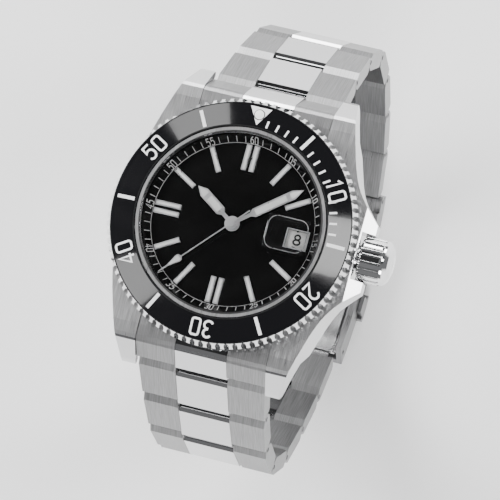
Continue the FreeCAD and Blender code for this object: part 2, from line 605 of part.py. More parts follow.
def bracelet_strand(word, strand, last_bore):
    """Rows numbered from the head; the last one's far bore is given, as its pin may be its own."""
    for index in range(len(strand["angles"])):
        first, second = strand["halves"][index], strand["halves"][index + 1]
        bore = last_bore if index == len(strand["angles"]) - 1 else dim("pin") + dim("running")
        solids = [outer_link(first, second, 1), outer_link(first, second, -1), centre_link(bore),
                  x_rod(dim("pin"), first - 0.35),
                  x_rod(dim("pin"), dim("centre_half") + 1.5, dim("pitch") / 2)]
        solid_group(f"link_{word}_{index + 1}", solids, row_placement(strand, index))


bracelet_strand("12", TWELVE, dim("pin") + dim("running"))
bracelet_strand("6", SIX, dim("pin"))


def end_link(word, strand):
    """Piece between the lugs: two outers and a centre whose knuckle takes the first row's pin."""
    y0, z0 = strand["start"]
    angle = math.radians(strand["angles"][0])
    along, out = (math.cos(angle), -math.sin(angle)), (math.sin(angle), math.cos(angle))

    def at(u, v):
        return (y0 + u * along[0] + v * out[0], z0 + u * along[1] + v * out[1])

    (near, up), full = nose_points(dim("nose"))
    crown = [(14.0, 8.5), (19.0, 8.5), (20.7, 8.3), (21.3, 7.95), (21.7, 7.5)]
    under = [(19.0, 1.5), (14.0, 1.5)]
    outer = crown + [at(-FLAT - 0.25, HALF), at(-FLAT, HALF - 0.3), at(-FLAT, -HALF)] + under
    points = [yz(*c) for c in outer]
    outer_face = Part.Face(Part.makePolygon(points + points[:1]))
    upper = [yz(*c) for c in crown + [at(-full, HALF), at(-near, up)]]
    lower = [yz(*c) for c in [at(-near, -up), at(-full, -HALF)] + under]
    edges = [Part.makeLine(a, b) for a, b in zip(upper, upper[1:])]
    edges.append(Part.Arc(upper[-1], yz(*at(dim("nose"), 0)), lower[0]).toShape())
    edges += [Part.makeLine(a, b) for a, b in zip(lower, lower[1:] + upper[:1])]
    centre_face = Part.Face(Part.Wire(edges))
    half, gap, edge = dim("centre_half"), dim("side_gap"), dim("lug_gap") / 2 - 0.08
    outer_solid = outer_face.extrude(FreeCAD.Vector(edge - half - gap, 0, 0))
    right = outer_solid.translated(yz(0, 0, half + gap))
    left = outer_solid.translated(yz(0, 0, -edge))
    centre = centre_face.extrude(FreeCAD.Vector(2 * half, 0, 0)).translated(yz(0, 0, -half))
    core = Part.makeCylinder(dim("case_wall") + 0.06, 20)
    tools = [core, x_rod(dim("spring_bar") + dim("running"), 20, dim("spring_bar_y"),
                         dim("spring_bar_z"))]
    solids = [s.cut(tools[0]).cut(tools[1]) for s in (right, left, centre)]
    solids[2] = solids[2].cut(x_rod(dim("pin") + dim("running"), 20, y0, z0))
    face = FreeCAD.Rotation(FreeCAD.Vector(0, 0, 1), 0 if strand["sign"] > 0 else 180)
    solid_group(f"end_link_{word}", solids, FreeCAD.Placement(FreeCAD.Vector(), face))


end_link("12", TWELVE)
end_link("6", SIX)

spring_bars = []
for side, sign in (("twelve", ""), ("six", "-")):
    rod = cylinder(f"bar_body_{side}", "spring_bar", "lug_gap - 0.6",
                   ("-lug_gap / 2 + 0.3", f"{sign}spring_bar_y", "spring_bar_z"), "X")
    tips = cylinder(f"bar_tips_{side}", "bar_tip", "lug_gap + 2.4",
                    ("-lug_gap / 2 - 1.2", f"{sign}spring_bar_y", "spring_bar_z"), "X")
    spring_bars.append(fuse(f"bar_{side}", rod, tips))
node(group("lug_spring_bars", *spring_bars), "lug_spring_bars")

# ---- clasp ----------------------------------------------------------------------------------


def at_clasp(radius, degrees):
    """A point on an arc about the clasp's centre, measured from straight down towards +Y."""
    angle = math.radians(degrees)
    return (dim("clasp_y") + radius * math.sin(angle), dim("clasp_z") - radius * math.cos(angle))


def arc_plate(inner, outer, start, end, low_x, high_x):
    """A curved plate: part of a ring about the clasp's centre, extruded along X."""
    middle = (start + end) / 2
    a, b, c = (yz(*at_clasp(outer, t), low_x) for t in (start, middle, end))
    d, e, f = (yz(*at_clasp(inner, t), low_x) for t in (end, middle, start))
    edges = [Part.Arc(a, b, c).toShape(), Part.makeLine(c, d), Part.Arc(d, e, f).toShape(),
             Part.makeLine(f, a)]
    return Part.Face(Part.Wire(edges)).extrude(FreeCAD.Vector(high_x - low_x, 0, 0))


def both_sides(inner, outer, start, end, low_x, high_x):
    plate = arc_plate(inner, outer, start, end, low_x, high_x)
    return plate.fuse(plate.mirror(FreeCAD.Vector(), FreeCAD.Vector(1, 0, 0)))


def rods(radius, low_x, high_x, y, z):
    rod = Part.makeCylinder(radius, high_x - low_x, yz(y, z, low_x), FreeCAD.Vector(1, 0, 0))
    return rod.fuse(rod.mirror(FreeCAD.Vector(), FreeCAD.Vector(1, 0, 0)))


def strand_end(strand):
    end = row_placement(strand, 7).Base
    return end.y, end.z


END_12, END_6 = strand_end(TWELVE), strand_end(SIX)
HINGE_1 = at_clasp(dim("hinge_one"), dim("hinge_one_at"))
HINGE_2 = at_clasp(dim("hinge_two"), dim("hinge_two_at"))
CATCH = at_clasp(dim("catch_hinge"), dim("catch_hinge_at"))
END_12_AT = math.degrees(math.atan2(END_12[0] - dim("clasp_y"), dim("clasp_z") - END_12[1]))
END_12_R = math.hypot(END_12[0] - dim("clasp_y"), END_12[1] - dim("clasp_z"))
END_6_AT = math.degrees(math.atan2(END_6[0] - dim("clasp_y"), dim("clasp_z") - END_6[1]))
inner_side = dim("centre_half") + dim("side_gap")
cover_half = dim("cover_half")
wall_in = cover_half - dim("wall_thick")
shell_in = dim("cover") - dim("cover_thick")
span = dim("cover_span")


def clasp_cover():
    shell = arc_plate(shell_in, dim("cover"), -span, END_12_AT + 0.8, -cover_half, cover_half)
    walls = both_sides(dim("wall_inner"), shell_in + 0.1, -span, END_12_AT - 3.2, wall_in, cover_half)
    seat = both_sides(END_12_R - dim("nose"), shell_in + 0.1, END_12_AT - 3.4, END_12_AT,
                      inner_side, cover_half)
    nose = rods(dim("nose"), inner_side, cover_half, *END_12)
    bosses = rods(dim("catch_boss"), dim("lower_half") + 0.15, cover_half - 0.1, *CATCH)
    solid = shell.fuse([walls, seat, nose, bosses]).removeSplitter()
    holes = [x_rod(dim("pin"), 30, *END_12), x_rod(dim("pin"), 30, *HINGE_1),
             x_rod(dim("catch_pin"), 30, *CATCH)]
    for hole in holes:
        solid = solid.cut(hole)
    return solid


def middle_blade():
    half, first, second = dim("middle_half"), dim("hinge_one_at"), dim("hinge_two_at")
    blade = arc_plate(dim("middle_inner"), dim("middle_outer"), first, second, -half, half)
    knuckle = x_rod(dim("knuckle"), half, *HINGE_1)
    ears = rods(dim("knuckle"), inner_side, half, *HINGE_2)
    window = arc_plate(30, 34, -14, 8, -4.6, 4.6)
    slot = arc_plate(30, 34, second - 2.2, second + 4, -inner_side, inner_side)
    solid = blade.fuse([knuckle, ears]).cut(window).cut(slot).removeSplitter()
    return solid.cut(x_rod(dim("pin") + dim("running"), 30, *HINGE_1)).cut(
        x_rod(dim("pin"), 30, *HINGE_2))


def lower_blade():
    half, second = dim("lower_half"), dim("hinge_two_at")
    blade = arc_plate(dim("lower_inner"), dim("lower_outer"), END_6_AT, second, -half, half)
    tongue = x_rod(dim("knuckle"), inner_side - 0.08, *HINGE_2)
    relief = both_sides(29, 34, second - 2.2, second + 4, inner_side - 0.08, half + 1)
    ears = rods(dim("nose"), inner_side, half, *END_6)
    slot = arc_plate(29, 33, END_6_AT - 4, END_6_AT + 2.6, -inner_side, inner_side)
    window = arc_plate(29, 33, -16, 10, -4.2, 4.2)
    solid = blade.fuse([tongue, ears]).cut(window).cut(slot).cut(relief).removeSplitter()
    return solid.cut(x_rod(dim("pin") + dim("running"), 30, *HINGE_2)).cut(
        x_rod(dim("pin"), 30, *END_6))


def safety_catch():
    low = dim("cover") + 0.12
    high = low + dim("catch_thick")
    plate = arc_plate(low, high, -3, dim("catch_hinge_at"), -dim("lower_half"), dim("lower_half"))
    head = arc_plate(low, high + 0.3, -10.5, -2.9, -cover_half - 0.75, cover_half + 0.75)
    ears = both_sides(dim("cover") - 2.4, high + 0.3, -9.6, -4.2, cover_half + 0.1,
                      cover_half + 0.75)
    knuckle = x_rod(dim("catch_knuckle"), dim("lower_half"), *CATCH)
    solid = plate.fuse([head, ears, knuckle]).removeSplitter()
    return solid.cut(x_rod(dim("catch_pin") + dim("running"), 30, *CATCH))


node(shaped("clasp_cover", clasp_cover()), "clasp_cover")
node(shaped("clasp_middle_blade", middle_blade()), "clasp_middle_blade")
node(shaped("clasp_lower_blade", lower_blade()), "clasp_lower_blade")
node(shaped("clasp_safety_catch", safety_catch()), "clasp_safety_catch")
cover_pins = [x_rod(dim("pin"), cover_half - 0.2, *END_12),
              x_rod(dim("pin"), cover_half - 0.2, *HINGE_1),
              x_rod(dim("catch_pin"), cover_half - 0.2, *CATCH)]
solid_group("clasp_cover_pins", cover_pins, FreeCAD.Placement())
node(shaped("clasp_spring_bar", x_rod(dim("pin"), dim("centre_half") - 0.15, *END_6)),
     "clasp_spring_bar")
node(shaped("clasp_fold_pin", x_rod(dim("pin"), dim("middle_half") - 0.1, *HINGE_2)),
     "clasp_fold_pin")

# ---- check and write ------------------------------------------------------------------------

doc.recompute()
for item in doc.Objects:
    if "Invalid" in item.State or "Error" in item.State:
        raise RuntimeError(f"{item.Label} failed: {item.State}")
os.makedirs("parts", exist_ok=True)
for item in NODES:
    shape = item.Shape
    if shape.isNull() or not shape.isValid() or not shape.Solids:
        raise RuntimeError(f"{item.Label} has a bad shape")
    shape.exportStep(f"parts/{item.Label}.step")
    print(f"{item.Label}: {len(shape.Solids)} solids, {shape.Volume:.1f} mm3")
print(f"{len(NODES)} nodes; strand ends {END_12} and {END_6}")
print(f"hinges {HINGE_1}, {HINGE_2}, catch {CATCH}")
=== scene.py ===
import math

import bpy
from mathutils import Matrix, Vector


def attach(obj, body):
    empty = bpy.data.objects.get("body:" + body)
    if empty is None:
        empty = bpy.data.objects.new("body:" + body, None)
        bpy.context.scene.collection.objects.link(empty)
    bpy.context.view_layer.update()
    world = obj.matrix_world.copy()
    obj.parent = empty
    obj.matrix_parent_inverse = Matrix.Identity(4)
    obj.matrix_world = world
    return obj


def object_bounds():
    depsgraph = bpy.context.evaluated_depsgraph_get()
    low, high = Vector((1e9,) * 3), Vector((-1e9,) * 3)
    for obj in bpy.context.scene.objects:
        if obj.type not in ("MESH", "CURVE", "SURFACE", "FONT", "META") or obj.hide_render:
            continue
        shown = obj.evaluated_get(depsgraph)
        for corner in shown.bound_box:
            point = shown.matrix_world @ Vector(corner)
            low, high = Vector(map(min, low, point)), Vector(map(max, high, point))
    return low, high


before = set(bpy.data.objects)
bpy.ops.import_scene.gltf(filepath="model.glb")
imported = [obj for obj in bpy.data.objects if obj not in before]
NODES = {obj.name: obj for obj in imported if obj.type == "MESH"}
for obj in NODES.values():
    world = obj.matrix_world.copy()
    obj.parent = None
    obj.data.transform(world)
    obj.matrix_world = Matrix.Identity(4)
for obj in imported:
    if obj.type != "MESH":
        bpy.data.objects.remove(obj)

MM = 0.001

# Sizes of the frame's parts, in millimetres, as the marks and inlays need them.
INSERT = ((15.95, 12.5), (19.6, 11.9))      # radius and height of the insert's two edges
CHAPTER = ((13.3, 10.0), (14.55, 11.6))     # the same for the sloping ring around the dial
DIAL_TOP = 10.0
MARKER_TOP = 10.45
HAND_THICK = 0.17
DATE_TOP = 9.47
CRYSTAL_TOP = 13.2
DATE_RADIUS = 10.75
CENTRE_HALF = 4.38                          # half the width of the polished centre links
MAGNIFIER_AT = 9.6                          # the magnifier's middle, out from the hand axis
PRINT_LIFT = 0.03                           # how far marks and lume stand above their surface
DAYS, SHOWN_DAY = 31, 8
TIMES = {"hour_hand": 304.0, "minute_hand": 51.8, "seconds_hand": 222.5}
TOPS = {"hour_hand": 10.45 + HAND_THICK, "minute_hand": 10.85 + HAND_THICK,
        "seconds_hand": 11.2 + HAND_THICK}

cad_low, cad_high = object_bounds()


# ---- materials ------------------------------------------------------------------------------

class Shader:
    """One node material around a Principled shader, with coordinates fixed to the object."""

    def __init__(self, name, colour, roughness, metallic=0.0, **sockets):
        self.material = bpy.data.materials.new(name)
        self.material.use_nodes = True
        self.tree = self.material.node_tree
        self.surface = self.tree.nodes["Principled BSDF"]
        self.coords = self.add("ShaderNodeTexCoord").outputs["Object"]
        self.set("Base Color", (*colour, 1.0))
        self.set("Roughness", roughness)
        self.set("Metallic", metallic)
        for key, value in sockets.items():
            self.set(key.replace("_", " "), value)

    def add(self, kind, **values):
        node = self.tree.nodes.new(kind)
        for key, value in values.items():
            setattr(node, key, value)
        return node

    def link(self, output, socket):
        self.tree.links.new(output, socket)

    def set(self, key, value):
        self.surface.inputs[key].default_value = value

    def stretched(self, scale):
        """Object coordinates multiplied per axis, for grain that runs one way."""
        node = self.add("ShaderNodeVectorMath", operation="MULTIPLY")
        self.link(self.coords, node.inputs[0])
        node.inputs[1].default_value = scale
        return node.outputs[0]

    def noise(self, vector, scale=1.0, detail=2.0):
        node = self.add("ShaderNodeTexNoise")
        self.link(vector, node.inputs["Vector"])
        node.inputs["Scale"].default_value = scale
        node.inputs["Detail"].default_value = detail
        return node.outputs["Fac"]

    def ranged(self, value, low, high, new_low, new_high, smooth=False):
        node = self.add("ShaderNodeMapRange")
        if smooth:
            node.interpolation_type = "SMOOTHSTEP"
        self.link(value, node.inputs["Value"])
        for key, number in (("From Min", low), ("From Max", high), ("To Min", new_low),
                            ("To Max", new_high)):
            node.inputs[key].default_value = number
        return node.outputs["Result"]

    def math(self, operation, a, b=0.0):
        node = self.add("ShaderNodeMath", operation=operation)
        for socket, value in zip(node.inputs, (a, b)):
            if isinstance(value, (int, float)):
                socket.default_value = value
            else:
                self.link(value, socket)
        return node.outputs[0]

    def mixed(self, factor, a, b):
        """a where the factor is 0 and b where it is 1."""
        node = self.add("ShaderNodeMix", data_type="FLOAT")
        self.link(factor, node.inputs["Factor"])
        for key, value in (("A", a), ("B", b)):
            if isinstance(value, (int, float)):
                node.inputs[key].default_value = value
            else:
                self.link(value, node.inputs[key])
        return node.outputs["Result"]

    def colours(self, factor, dark, light):
        node = self.add("ShaderNodeMix", data_type="RGBA")
        self.link(factor, node.inputs["Factor"])
        node.inputs[6].default_value = (*dark, 1.0)
        node.inputs[7].default_value = (*light, 1.0)
        self.link(node.outputs[2], self.surface.inputs["Base Color"])

    def bump(self, height, strength, distance):
        node = self.add("ShaderNodeBump")
        node.inputs["Distance"].default_value = distance
        self.link(height, node.inputs["Height"])
        if isinstance(strength, (int, float)):
            node.inputs["Strength"].default_value = strength
        else:
            self.link(strength, node.inputs["Strength"])
        self.link(node.outputs["Normal"], self.surface.inputs["Normal"])

    def axis(self, index, source=None):
        node = self.add("ShaderNodeSeparateXYZ")
        self.link(source or self.coords, node.inputs[0])
        return node.outputs[index]


FINE = 9000.0       # across the brushing, lines per metre of the grain
LONG = 240.0        # along the brushing


def steel(name, grain, mask=None, rough=0.30, tone=0.34, mirror=0.66):
    """Brushed steel; mask, given the shader, is 1 where the surface is polished instead."""
    light, dark = (tone, tone, tone * 1.01), (tone * 0.62, tone * 0.62, tone * 0.63)
    s = Shader(name, light, rough, metallic=1.0)
    lines = s.noise(s.stretched(grain), 1.0, 3.0)
    cloud = s.noise(s.coords, 180.0, 2.0)
    smudge = s.ranged(s.noise(s.coords, 420.0, 3.0), 0.35, 0.7, 0.035, 0.085)
    brushed = s.math("ADD", s.ranged(lines, 0.3, 0.7, rough - 0.05, rough + 0.07),
                     s.ranged(cloud, 0.3, 0.7, -0.02, 0.03))
    polished = mask(s) if mask else None
    if polished is None:
        s.link(brushed, s.surface.inputs["Roughness"])
        s.bump(lines, 0.35, 0.00002)
        s.colours(s.ranged(lines, 0.3, 0.72, 0.0, 1.0), dark, light)
    else:
        s.link(s.mixed(polished, brushed, smudge), s.surface.inputs["Roughness"])
        s.bump(lines, s.mixed(polished, 0.35, 0.0), 0.00002)
        tint = s.ranged(lines, 0.3, 0.72, tone * 0.62, tone)
        tint = s.mixed(polished, tint, mirror)
        s.colours(tint, (0.0, 0.0, 0.0), (1.0, 1.0, 1.01))
    return s.material


def polished_steel(name, colour=(0.80, 0.80, 0.805), rough=(0.03, 0.08)):
    """Mirror finish with faint wiping marks and hairlines."""
    s = Shader(name, colour, rough[0], metallic=1.0)
    wipe = s.noise(s.coords, 350.0, 3.0)
    hair = s.noise(s.stretched((5200.0, 700.0, 3000.0)), 1.0, 1.0)
    s.link(s.ranged(wipe, 0.3, 0.7, *rough), s.surface.inputs["Roughness"])
    s.colours(s.ranged(wipe, 0.3, 0.7, 0.0, 1.0), tuple(c * 0.94 for c in colour), colour)
    s.bump(hair, 0.03, 0.000004)
    return s.material


def centre_mask(s):
    """The middle link of each row is polished, its two neighbours are brushed."""
    across = s.math("ABSOLUTE", s.axis(0))
    return s.math("LESS_THAN", across, CENTRE_HALF * MM)


def flank_mask(s):
    """Faces that look up are brushed; flanks, slopes and undersides are polished."""
    normal = s.add("ShaderNodeTexCoord").outputs["Normal"]
    return s.ranged(s.axis(2, normal), 0.80, 0.86, 1.0, 0.0, smooth=True)


def lacquer(name, colour, rough, coat=0.0):
    """Gloss black or white paint with a faint orange-peel surface and dust-fine variation."""
    s = Shader(name, colour, rough, Coat_Weight=coat, Coat_Roughness=0.02)
    speck = s.noise(s.coords, 9000.0, 2.0)
    cloud = s.noise(s.coords, 260.0, 2.0)
    s.link(s.ranged(cloud, 0.3, 0.7, rough * 0.8, rough * 1.3), s.surface.inputs["Roughness"])
    s.colours(s.ranged(speck, 0.3, 0.75, 0.0, 1.0), tuple(c * 0.85 for c in colour), colour)
    s.bump(s.noise(s.coords, 1500.0, 1.0), 0.02, 0.000004)
    return s.material


def lume(name, colour=(0.97, 0.975, 0.96)):
    """Chalky luminous compound, slightly grainy."""
    s = Shader(name, colour, 0.55)
    grain = s.noise(s.coords, 12000.0, 4.0)
    s.colours(s.ranged(grain, 0.3, 0.7, 0.0, 1.0), tuple(c * 0.93 for c in colour), colour)
    s.link(s.ranged(grain, 0.3, 0.7, 0.45, 0.65), s.surface.inputs["Roughness"])
    s.bump(grain, 0.2, 0.00001)
    return s.material


def rubber(name):
    """Dull black seal rubber with a fine moulded grain."""
    s = Shader(name, (0.02, 0.02, 0.02), 0.6)
    grain = s.noise(s.coords, 6000.0, 3.0)
    s.colours(grain, (0.015, 0.015, 0.015), (0.035, 0.035, 0.036))
    s.link(s.ranged(grain, 0.3, 0.7, 0.5, 0.72), s.surface.inputs["Roughness"])
    s.bump(grain, 0.3, 0.00002)
    return s.material


def sapphire(name, index=1.45, tint=(0.97, 0.98, 1.0)):
    """Clear crystal seen as its reflections: the opacity follows the Fresnel curve."""
    s = Shader(name, tint, 0.01, metallic=1.0)
    fresnel = s.add("ShaderNodeFresnel")
    fresnel.inputs["IOR"].default_value = index
    smudge = s.noise(s.coords, 220.0, 2.0)
    s.link(s.ranged(smudge, 0.35, 0.75, 0.004, 0.02), s.surface.inputs["Roughness"])
    s.link(s.math("MULTIPLY", fresnel.outputs[0], s.ranged(smudge, 0.3, 0.7, 0.92, 1.0)),
           s.surface.inputs["Alpha"])
    return s.material


def plated(name, light, dark, rough=0.25):
    """Machined movement metal with circular graining about the hand axis."""
    s = Shader(name, light, rough, metallic=1.0)
    rings = s.noise(s.stretched((3800.0, 3800.0, 200.0)), 1.0, 3.0)
    s.colours(s.ranged(rings, 0.3, 0.7, 0.0, 1.0), dark, light)
    s.link(s.ranged(rings, 0.3, 0.7, rough - 0.06, rough + 0.1), s.surface.inputs["Roughness"])
    s.bump(rings, 0.15, 0.00001)
    return s.material


ALONG = (FINE, LONG, LONG)
ROUND = (FINE * 0.55, FINE * 0.55, LONG)
LINK_STEEL = steel("link_steel", ALONG, centre_mask, rough=0.34)
CASE_STEEL = steel("case_steel", ALONG, flank_mask, rough=0.33, tone=0.52)
CLASP_STEEL = steel("clasp_steel", ALONG, rough=0.32)
BLADE_STEEL = polished_steel("blade_steel", (0.72, 0.72, 0.725), (0.12, 0.24))
BEZEL_STEEL = polished_steel("bezel_steel", (0.86, 0.86, 0.865), (0.04, 0.10))
CROWN_STEEL = polished_steel("crown_steel", (0.86, 0.86, 0.865), (0.03, 0.08))
BACK_STEEL = steel("back_steel", ROUND, rough=0.26)
HAND_STEEL = polished_steel("hand_steel", (0.74, 0.74, 0.75), (0.26, 0.36))
PIN_STEEL = polished_steel("pin_steel", (0.66, 0.66, 0.67), (0.10, 0.22))
SPRING_STEEL = polished_steel("spring_steel_blue_grey", (0.55, 0.55, 0.57), (0.18, 0.30))
RHODIUM = plated("rhodium_plate", (0.72, 0.72, 0.72), (0.55, 0.55, 0.56))
GILT = plated("gilt_brass", (0.78, 0.60, 0.32), (0.62, 0.45, 0.22))
INSERT_BLACK = lacquer("insert_black_ceramic", (0.006, 0.006, 0.007), 0.06, coat=0.5)
DIAL_BLACK = lacquer("dial_black_lacquer", (0.006, 0.006, 0.006), 0.12)
DATE_WHITE = lacquer("date_white_paint", (0.86, 0.86, 0.84), 0.4)
PRINT_WHITE = lume("print_white", (0.88, 0.88, 0.88))
PRINT_BLACK = lacquer("print_black", (0.012, 0.012, 0.012), 0.4)
LUME = lume("lume_white")
SEAL = rubber("seal_rubber")
SAPPHIRE = sapphire("sapphire_crystal", 1.28)
LENS = sapphire("sapphire_lens", 1.6)

FINISH = {
    "case_middle": CASE_STEEL, "case_back": BACK_STEEL, "bezel_ring": BEZEL_STEEL,
    "bezel_insert": INSERT_BLACK, "bezel_pearl": LUME, "crystal": SAPPHIRE,
    "date_magnifier": LENS, "chapter_ring": DIAL_BLACK, "dial": DIAL_BLACK,
    "hour_markers": HAND_STEEL, "hour_hand": HAND_STEEL, "minute_hand": HAND_STEEL,
    "seconds_hand": HAND_STEEL, "crown": CROWN_STEEL, "crown_tube": PIN_STEEL,
    "date_disc": DATE_WHITE, "case_back_gasket": SEAL, "crystal_gasket": SEAL,
    "crown_gasket": SEAL, "main_plate": RHODIUM, "train_bridge": RHODIUM, "rotor": RHODIUM,
    "mainspring_barrel": GILT, "balance_wheel": GILT, "end_link_12": LINK_STEEL,
    "end_link_6": LINK_STEEL, "clasp_cover": CLASP_STEEL, "clasp_safety_catch": CLASP_STEEL,
    "clasp_middle_blade": BLADE_STEEL, "clasp_lower_blade": BLADE_STEEL,
    "lug_spring_bars": PIN_STEEL, "clasp_cover_pins": PIN_STEEL, "clasp_fold_pin": PIN_STEEL,
    "clasp_spring_bar": PIN_STEEL,
}
# How far the worn edges are rounded, in millimetres.
EDGES = {"case_middle": 0.16, "bezel_ring": 0.05, "crown": 0.05, "case_back": 0.12,
         "clasp_cover": 0.12, "clasp_safety_catch": 0.12, "hour_markers": 0.06,
         "end_link_12": 0.28, "end_link_6": 0.28, "dial": 0.02, "hour_hand": 0.04,
         "minute_hand": 0.04, "date_magnifier": 0.25}
LINK_EDGE = 0.30


def rounded_edges(node, width):
    bevel = node.modifiers.new("edges", "BEVEL")
    bevel.width = width * MM
    bevel.segments = 2
    bevel.limit_method = "ANGLE"
    bevel.angle_limit = math.radians(32)
    bevel.use_clamp_overlap = True
    bevel.harden_normals = True


def finish_nodes():
    for name, node in NODES.items():
        surface = FINISH.get(name, LINK_STEEL if name.startswith("link_") else SPRING_STEEL)
        node.data.materials.clear()
        node.data.materials.append(surface)
        width = LINK_EDGE if name.startswith("link_") else EDGES.get(name)
        if width:
            rounded_edges(node, width)


finish_nodes()


# ---- inlays and printed marks ----------------------------------------------------------------

def flat(height):
    return lambda radius: height


def cone(edges):
    """The height of a cone at any radius, from two of its radii and heights."""
    (r0, z0), (r1, z1) = edges
    return lambda radius: z0 + (radius - r0) * (z1 - z0) / (r1 - r0)


class Inlay:
    """Thin raised shapes on a surface around the hand axis, drawn in plan in millimetres."""

    def __init__(self, name, surface, lift, sink=0.02):
        self.name, self.surface, self.lift, self.sink = name, surface, lift, sink
        self.points, self.faces = [], []

    def point(self, x, y, raised):
        height = self.surface(math.hypot(x, y)) + (self.lift if raised else -self.sink)
        self.points.append((x * MM, y * MM, height * MM))
        return len(self.points) - 1

    def polygon(self, outline):
        """One convex plate from its corners, either way round."""
        area = sum(a[0] * b[1] - b[0] * a[1] for a, b in zip(outline, outline[1:] + outline[:1]))
        corners = outline if area > 0 else outline[::-1]
        top = [self.point(x, y, True) for x, y in corners]
        low = [self.point(x, y, False) for x, y in corners]
        self.faces.append(top)
        self.faces.append(low[::-1])
        for i in range(len(top)):
            k = (i + 1) % len(top)
            self.faces.append((low[i], low[k], top[k], top[i]))

    def stroke(self, line, width, closed=False):
        """A ribbon of constant width along a line, with mitred corners."""
        count = len(line)
        left, right = [], []
        for i, here in enumerate(line):
            before = line[i - 1] if (i or closed) else None
            after = line[(i + 1) % count] if (i < count - 1 or closed) else None
            ways = [(Vector(here) - Vector(before)).normalized()] if before else []
            ways += [(Vector(after) - Vector(here)).normalized()] if after else []
            way = sum(ways, Vector((0, 0))).normalized()
            half = width / 2 / max(0.7, way.dot(ways[0]))
            side = Vector((-way.y, way.x)) * half
            left.append(Vector(here) + side)
            right.append(Vector(here) - side)
        for i in range(count if closed else count - 1):
            k = (i + 1) % count
            self.polygon([tuple(left[i]), tuple(right[i]), tuple(right[k]), tuple(left[k])])

    def build(self, surface, body):
        mesh = bpy.data.meshes.new(self.name)
        mesh.from_pydata(self.points, [], self.faces)
        mesh.materials.append(surface)
        piece = bpy.data.objects.new(self.name, mesh)
        bpy.context.scene.collection.objects.link(piece)
        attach(piece, body)


def on_clock(angle, radius, inward=False):
    """Places a mark's own (across, up) at a clock angle, its top outwards or inwards."""
    turn = math.radians(angle)
    flip = -1.0 if inward else 1.0

    def place(u, v):
        u, v = u * flip, v * flip
        return (radius * math.sin(turn) + u * math.cos(turn) + v * math.sin(turn),
                radius * math.cos(turn) - u * math.sin(turn) + v * math.cos(turn))
    return place


def arc_points(cx, cy, rx, ry, start, end, steps=8):
    angles = [math.radians(start + (end - start) * i / steps) for i in range(steps + 1)]
    return [(cx + rx * math.cos(a), cy + ry * math.sin(a)) for a in angles]


# Each digit is one or more open or closed lines in a cell 1 wide and 1.5 high, about its middle.
DIGITS = {
    "0": [(arc_points(0.22, 0.5, 0.25, 0.25, 0, 90) + arc_points(-0.22, 0.5, 0.25, 0.25, 90, 180)
           + arc_points(-0.22, -0.5, 0.25, 0.25, 180, 270)
           + arc_points(0.22, -0.5, 0.25, 0.25, 270, 360), True)],
    "1": [([(-0.28, 0.42), (0.08, 0.75), (0.08, -0.75)], False)],
    "2": [(arc_points(0.0, 0.3, 0.48, 0.45, 165, -35) + [(-0.48, -0.75), (0.52, -0.75)], False)],
    "3": [(arc_points(-0.03, 0.38, 0.45, 0.37, 150, -90)
           + arc_points(-0.03, -0.37, 0.5, 0.38, 90, -150), False)],
    "4": [([(0.24, -0.75), (0.24, 0.75), (-0.5, -0.36), (0.52, -0.36)], False)],
    "5": [([(0.45, 0.75), (-0.36, 0.75), (-0.42, 0.08)]
           + arc_points(-0.03, -0.25, 0.5, 0.5, 120, -145, 10), False)],
    "6": [(arc_points(0.0, -0.28, 0.46, 0.47, 0, 360, 16)[:-1], True),
          (arc_points(0.42, -0.2, 0.88, 0.95, 180, 100), False)],
    "7": [([(-0.48, 0.75), (0.48, 0.75), (-0.12, -0.75)], False)],
    "8": [(arc_points(0.0, 0.38, 0.38, 0.37, 0, 360, 16)[:-1], True),
          (arc_points(0.0, -0.37, 0.47, 0.38, 0, 360, 16)[:-1], True)],
    "9": [(arc_points(0.0, 0.28, 0.46, 0.47, 0, 360, 16)[:-1], True),
          (arc_points(-0.42, 0.2, 0.88, 0.95, 0, -80), False)],
}


def write_number(inlay, number, place, width, height, stroke, gap):
    """Digits side by side, about the place's own origin."""
    step = width + gap
    start = -step * (len(number) - 1) / 2
    for i, digit in enumerate(number):
        for line, closed in DIGITS[digit]:
            inlay.stroke([place(start + i * step + u * width, v * height / 1.5)
                          for u, v in line], stroke, closed)


def bar_mark(inlay, angle, inner, outer, half):
    place = on_clock(angle, 0.0)
    inlay.polygon([place(-half, inner), place(half, inner), place(half, outer),
                   place(-half, outer)])


def ring_line(inlay, radius, width, steps=180):
    turns = [2 * math.pi * i / steps for i in range(steps)]
    inlay.stroke([(radius * math.sin(turn), radius * math.cos(turn)) for turn in turns],
                 width, closed=True)


PEARL_AT = 18.0
PEARL_CUP = 0.92


def ray_to_outline(start, way, outline):
    """Where a ray leaves a convex outline."""
    reaches = []
    for a, b in zip(outline, outline[1:] + outline[:1]):
        edge, gap = Vector(b) - Vector(a), Vector(a) - start
        cross = way.x * edge.y - way.y * edge.x
        if abs(cross) < 1e-9:
            continue
        reach = (gap.x * edge.y - gap.y * edge.x) / cross
        share = (gap.x * way.y - gap.y * way.x) / cross
        if reach > 0 and -1e-6 <= share <= 1 + 1e-6:
            reaches.append(reach)
    return start + way * min(reaches)


def bezel_triangle():
    """The zero triangle, with a round hole for the pearl."""
    triangle = Inlay("bezel_triangle", cone(INSERT), PRINT_LIFT)
    outline = [(0.0, 16.2), (-1.8, 19.25), (1.8, 19.25)]
    pearl = Vector((0.0, PEARL_AT))
    corner_angles = [math.degrees(math.atan2(y - PEARL_AT, x)) % 360 for x, y in outline]
    angles = sorted(set(list(range(0, 360, 12)) + corner_angles))
    hole, rim = [], []
    for angle in angles:
        way = Vector((math.cos(math.radians(angle)), math.sin(math.radians(angle))))
        hole.append(tuple(pearl + way * PEARL_CUP))
        rim.append(tuple(ray_to_outline(pearl, way, outline)))
    for i in range(len(angles)):
        k = (i + 1) % len(angles)
        triangle.polygon([hole[i], rim[i], rim[k], hole[k]])
    triangle.build(PRINT_WHITE, "bezel")


